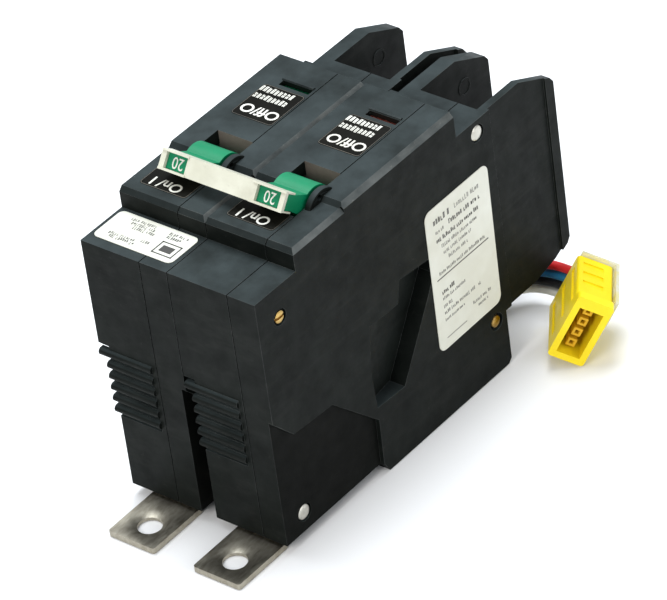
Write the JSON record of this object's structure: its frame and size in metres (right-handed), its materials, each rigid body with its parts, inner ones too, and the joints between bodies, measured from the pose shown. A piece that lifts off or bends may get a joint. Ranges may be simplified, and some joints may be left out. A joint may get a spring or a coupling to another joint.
{
  "type": "two-pole bolt-on circuit breaker",
  "caption": "Bolt-on circuit breaker with tied toggle handles, remote operator, flat line tabs, rear terminal bays and a plug-in control lead.",
  "frame": {"origin": "middle of the breaker's footprint (tabs included, control lead left out), on the mounting plane", "axes": "+X across the poles, +Y from the line end to the load end, +Z out of the panel towards the handles"},
  "size_m": [0.0738, 0.1274, 0.0842],
  "materials": {
    "left_case_base": "moulded thermoset, satin",
    "left_case_cover": "moulded thermoset, satin",
    "left_handle": "moulded, satin gloss",
    "left_handle_axle": "ground",
    "left_line_terminal": "tin-plated copper, dull",
    "left_contact_arm": "bare copper",
    "left_contact_pin": "ground",
    "left_arc_chute": "plain",
    "left_shunt_braid": "braided copper",
    "left_toggle_spring": "spring wire",
    "left_load_terminal": "plain",
    "left_clamp_plate": "zinc plated",
    "left_load_screw": "zinc plated",
    "left_cradle": "plain",
    "left_armature": "plain",
    "left_magnet_yoke": "plain",
    "left_bimetal": "rolled strip",
    "left_solenoid_frame": "plain",
    "left_solenoid_coil": "enamelled copper winding",
    "left_plunger": "ground",
    "left_indicator_flag": "two-colour plate",
    "right_case_base": "moulded thermoset, satin",
    "right_case_cover": "moulded thermoset, satin",
    "right_handle": "moulded, satin gloss",
    "right_handle_axle": "ground",
    "right_line_terminal": "tin-plated copper, dull",
    "right_contact_arm": "bare copper",
    "right_contact_pin": "ground",
    "right_arc_chute": "plain",
    "right_shunt_braid": "braided copper",
    "right_toggle_spring": "spring wire",
    "right_load_terminal": "plain",
    "right_clamp_plate": "zinc plated",
    "right_load_screw": "zinc plated",
    "right_cradle": "plain",
    "right_armature": "plain",
    "right_magnet_yoke": "plain",
    "right_bimetal": "rolled strip",
    "right_solenoid_frame": "plain",
    "right_solenoid_coil": "enamelled copper winding",
    "right_plunger": "ground",
    "right_indicator_flag": "two-colour plate",
    "tie_bar": "moulded, cream",
    "trip_bar": "moulded phenolic",
    "case_screw": "plain",
    "rivet_line_end": "plated",
    "rivet_load_end_top": "plated",
    "rivet_load_end_foot": "plain",
    "nameplate": "printed film",
    "side_label": "printed film",
    "wire_grommet": "moulded",
    "wire_red": "insulation",
    "wire_blue": "insulation",
    "wire_black": "insulation",
    "wire_white": "insulation",
    "connector_housing": "moulded, yellow",
    "connector_lock": "translucent"
  },
  "bodies": {
    "case": {"left_case_base": "left_case_base", "left_case_cover": "left_case_cover", "left_handle_axle": "left_handle_axle", "left_line_terminal": "left_line_terminal", "left_contact_pin": "left_contact_pin", "left_arc_chute": "left_arc_chute", "left_shunt_braid": "left_shunt_braid", "left_toggle_spring": "left_toggle_spring", "left_load_terminal": "left_load_terminal", "left_clamp_plate": "left_clamp_plate", "left_magnet_yoke": "left_magnet_yoke", "left_bimetal": "left_bimetal", "left_solenoid_frame": "left_solenoid_frame", "left_solenoid_coil": "left_solenoid_coil", "right_case_base": "right_case_base", "right_case_cover": "right_case_cover", "right_handle_axle": "right_handle_axle", "right_line_terminal": "right_line_terminal", "right_contact_pin": "right_contact_pin", "right_arc_chute": "right_arc_chute", "right_shunt_braid": "right_shunt_braid", "right_toggle_spring": "right_toggle_spring", "right_load_terminal": "right_load_terminal", "right_clamp_plate": "right_clamp_plate", "right_magnet_yoke": "right_magnet_yoke", "right_bimetal": "right_bimetal", "right_solenoid_frame": "right_solenoid_frame", "right_solenoid_coil": "right_solenoid_coil", "case_screw": "case_screw", "rivet_line_end": "rivet_line_end", "rivet_load_end_top": "rivet_load_end_top", "rivet_load_end_foot": "rivet_load_end_foot", "nameplate": "nameplate", "side_label": "side_label", "wire_grommet": "wire_grommet", "wire_red": "wire_red", "wire_blue": "wire_blue", "wire_black": "wire_black", "wire_white": "wire_white", "connector_housing": "connector_housing", "connector_lock": "connector_lock"},
    "handles": {"left_handle": "left_handle", "right_handle": "right_handle", "tie_bar": "tie_bar"},
    "trip_bar": {"trip_bar": "trip_bar"},
    "left_contact": {"left_contact_arm": "left_contact_arm"},
    "left_cradle": {"left_cradle": "left_cradle"},
    "left_armature": {"left_armature": "left_armature"},
    "left_remote_operator": {"left_plunger": "left_plunger", "left_indicator_flag": "left_indicator_flag"},
    "left_load_screw": {"left_load_screw": "left_load_screw"},
    "right_contact": {"right_contact_arm": "right_contact_arm"},
    "right_cradle": {"right_cradle": "right_cradle"},
    "right_armature": {"right_armature": "right_armature"},
    "right_remote_operator": {"right_plunger": "right_plunger", "right_indicator_flag": "right_indicator_flag"},
    "right_load_screw": {"right_load_screw": "right_load_screw"}
  },
  "joints": [
    {"name": "handles_toggle", "type": "hinge", "parent": "case", "child": "handles", "pos_m": [0.00013, -0.01435, 0.0744], "axis": [1, 0, 0], "range_deg": [-88, 0]},
    {"name": "trip_bar_turn", "type": "hinge", "parent": "case", "child": "trip_bar", "pos_m": [0.00013, 0.01475, 0.0495], "axis": [1, 0, 0], "range_deg": [-12, 0]},
    {"name": "left_contact_swing", "type": "hinge", "parent": "case", "child": "left_contact", "pos_m": [-0.01247, -0.00355, 0.024], "axis": [1, 0, 0], "range_deg": [-26, 0]},
    {"name": "left_cradle_unlatch", "type": "hinge", "parent": "case", "child": "left_cradle", "pos_m": [-0.00958, -0.00155, 0.064], "axis": [1, 0, 0], "range_deg": [-20, 0]},
    {"name": "left_armature_pull", "type": "hinge", "parent": "case", "child": "left_armature", "pos_m": [-0.01328, 0.01905, 0.016], "axis": [1, 0, 0], "range_deg": [-6, 0]},
    {"name": "left_plunger_slide", "type": "slide", "parent": "case", "child": "left_remote_operator", "axis": [0, 1, 0], "range_m": [-0.004, 0]},
    {"name": "left_load_screw_drive", "type": "slide", "parent": "case", "child": "left_load_screw", "axis": [0, 0, 1], "range_m": [0, 0.005]},
    {"name": "right_contact_swing", "type": "hinge", "parent": "case", "child": "right_contact", "pos_m": [0.01293, -0.00355, 0.024], "axis": [1, 0, 0], "range_deg": [-26, 0]},
    {"name": "right_cradle_unlatch", "type": "hinge", "parent": "case", "child": "right_cradle", "pos_m": [0.01582, -0.00155, 0.064], "axis": [1, 0, 0], "range_deg": [-20, 0]},
    {"name": "right_armature_pull", "type": "hinge", "parent": "case", "child": "right_armature", "pos_m": [0.01213, 0.01905, 0.016], "axis": [1, 0, 0], "range_deg": [-6, 0]},
    {"name": "right_plunger_slide", "type": "slide", "parent": "case", "child": "right_remote_operator", "axis": [0, 1, 0], "range_m": [0, 0.004]},
    {"name": "right_load_screw_drive", "type": "slide", "parent": "case", "child": "right_load_screw", "axis": [0, 0, 1], "range_m": [0, 0.005]}
  ],
  "couplings": [
    {"joint": "left_contact_swing", "follows": "handles_toggle", "ratio": 0.29545},
    {"joint": "right_contact_swing", "follows": "handles_toggle", "ratio": 0.29545}
  ]
}
